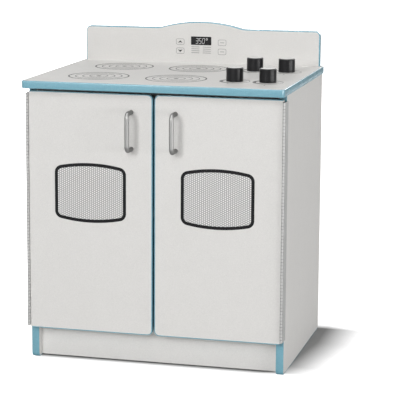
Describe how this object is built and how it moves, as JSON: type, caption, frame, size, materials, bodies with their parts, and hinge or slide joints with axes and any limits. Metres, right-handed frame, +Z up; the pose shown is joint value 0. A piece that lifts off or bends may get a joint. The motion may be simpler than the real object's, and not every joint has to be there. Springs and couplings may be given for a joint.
{
  "type": "toy oven",
  "caption": "Child's play cooker: laminated cabinet with teal edge bands, printed hob with turning knobs, arched backsplash and hinged doors with bar handles.",
  "frame": {"origin": "centre of the bounding box's base, on the floor", "axes": "+Z up, the doors face -Y, +X to the right as one looks at the doors"},
  "size_m": [0.555, 0.452, 0.6935],
  "materials": {
    "laminated_board": "pale grey fine-speckled laminate, low sheen",
    "edge_band": "teal edge band, satin",
    "beech_dowel": "plain beech",
    "hinge_steel": "nickel-plated, satin",
    "satin_steel": "satin",
    "plated_steel": "bright plated",
    "white_plastic": "satin",
    "magnet": "matt dark grey",
    "black_plastic": "satin black",
    "knob_cap": "pale grey satin",
    "grey_print": "printed grey line",
    "dark_print": "printed dark grey",
    "black_film": "printed black",
    "mesh_film": "printed white dots on grey"
  },
  "bodies": {
    "cabinet": {"left_side_panel": "laminated_board", "right_side_panel": "laminated_board", "left_side_edge_band": "edge_band", "right_side_edge_band": "edge_band", "floor_board": "laminated_board", "inner_shelf": "laminated_board", "shelf_pins": "plated_steel", "back_panel": "laminated_board", "kick_board": "laminated_board", "front_rail": "laminated_board", "carcass_dowels": "beech_dowel", "countertop": "laminated_board", "countertop_edge_band": "edge_band", "backsplash": "laminated_board", "backsplash_edge_band": "edge_band", "backsplash_screws": "plated_steel", "left_hinge_fixed_leaf": "hinge_steel", "right_hinge_fixed_leaf": "hinge_steel", "fixed_leaf_screws": "plated_steel", "left_catch": "white_plastic", "right_catch": "white_plastic", "catch_magnets": "magnet", "knob_bushings": "white_plastic", "burner_prints": "grey_print", "dial_prints": "dark_print", "control_display": "black_film", "control_print": "dark_print"},
    "left_door": {"left_door_panel": "laminated_board", "left_door_edge_band": "edge_band", "left_window_border": "black_film", "left_window_screen": "mesh_film", "left_handle": "satin_steel", "left_handle_screws": "plated_steel", "left_hinge_door_leaf": "hinge_steel", "left_hinge_pin": "hinge_steel", "left_door_leaf_screws": "plated_steel", "left_strike_plate": "plated_steel"},
    "right_door": {"right_door_panel": "laminated_board", "right_door_edge_band": "edge_band", "right_window_border": "black_film", "right_window_screen": "mesh_film", "right_handle": "satin_steel", "right_handle_screws": "plated_steel", "right_hinge_door_leaf": "hinge_steel", "right_hinge_pin": "hinge_steel", "right_door_leaf_screws": "plated_steel", "right_strike_plate": "plated_steel"},
    "front_left_knob": {"front_left_knob": "black_plastic", "front_left_knob_cap": "knob_cap", "front_left_spindle": "plated_steel"},
    "front_right_knob": {"front_right_knob": "black_plastic", "front_right_knob_cap": "knob_cap", "front_right_spindle": "plated_steel"},
    "rear_left_knob": {"rear_left_knob": "black_plastic", "rear_left_knob_cap": "knob_cap", "rear_left_spindle": "plated_steel"},
    "rear_right_knob": {"rear_right_knob": "black_plastic", "rear_right_knob_cap": "knob_cap", "rear_right_spindle": "plated_steel"}
  },
  "joints": [
    {"name": "left_door_hinge", "type": "hinge", "parent": "cabinet", "child": "left_door", "pos_m": [-0.2729, -0.1913, 0.32375], "axis": [0, 0, -1], "range_deg": [0, 260]},
    {"name": "right_door_hinge", "type": "hinge", "parent": "cabinet", "child": "right_door", "pos_m": [0.2729, -0.1913, 0.32375], "axis": [0, 0, 1], "range_deg": [0, 260]},
    {"name": "front_left_knob_turn", "type": "hinge", "parent": "cabinet", "child": "front_left_knob", "pos_m": [0.15, -0.101, 0.601], "axis": [0, 0, 1], "continuous": true},
    {"name": "front_right_knob_turn", "type": "hinge", "parent": "cabinet", "child": "front_right_knob", "pos_m": [0.22, -0.101, 0.601], "axis": [0, 0, 1], "continuous": true},
    {"name": "rear_left_knob_turn", "type": "hinge", "parent": "cabinet", "child": "rear_left_knob", "pos_m": [0.15, 0.094, 0.601], "axis": [0, 0, 1], "continuous": true},
    {"name": "rear_right_knob_turn", "type": "hinge", "parent": "cabinet", "child": "rear_right_knob", "pos_m": [0.22, 0.094, 0.601], "axis": [0, 0, 1], "continuous": true}
  ]
}
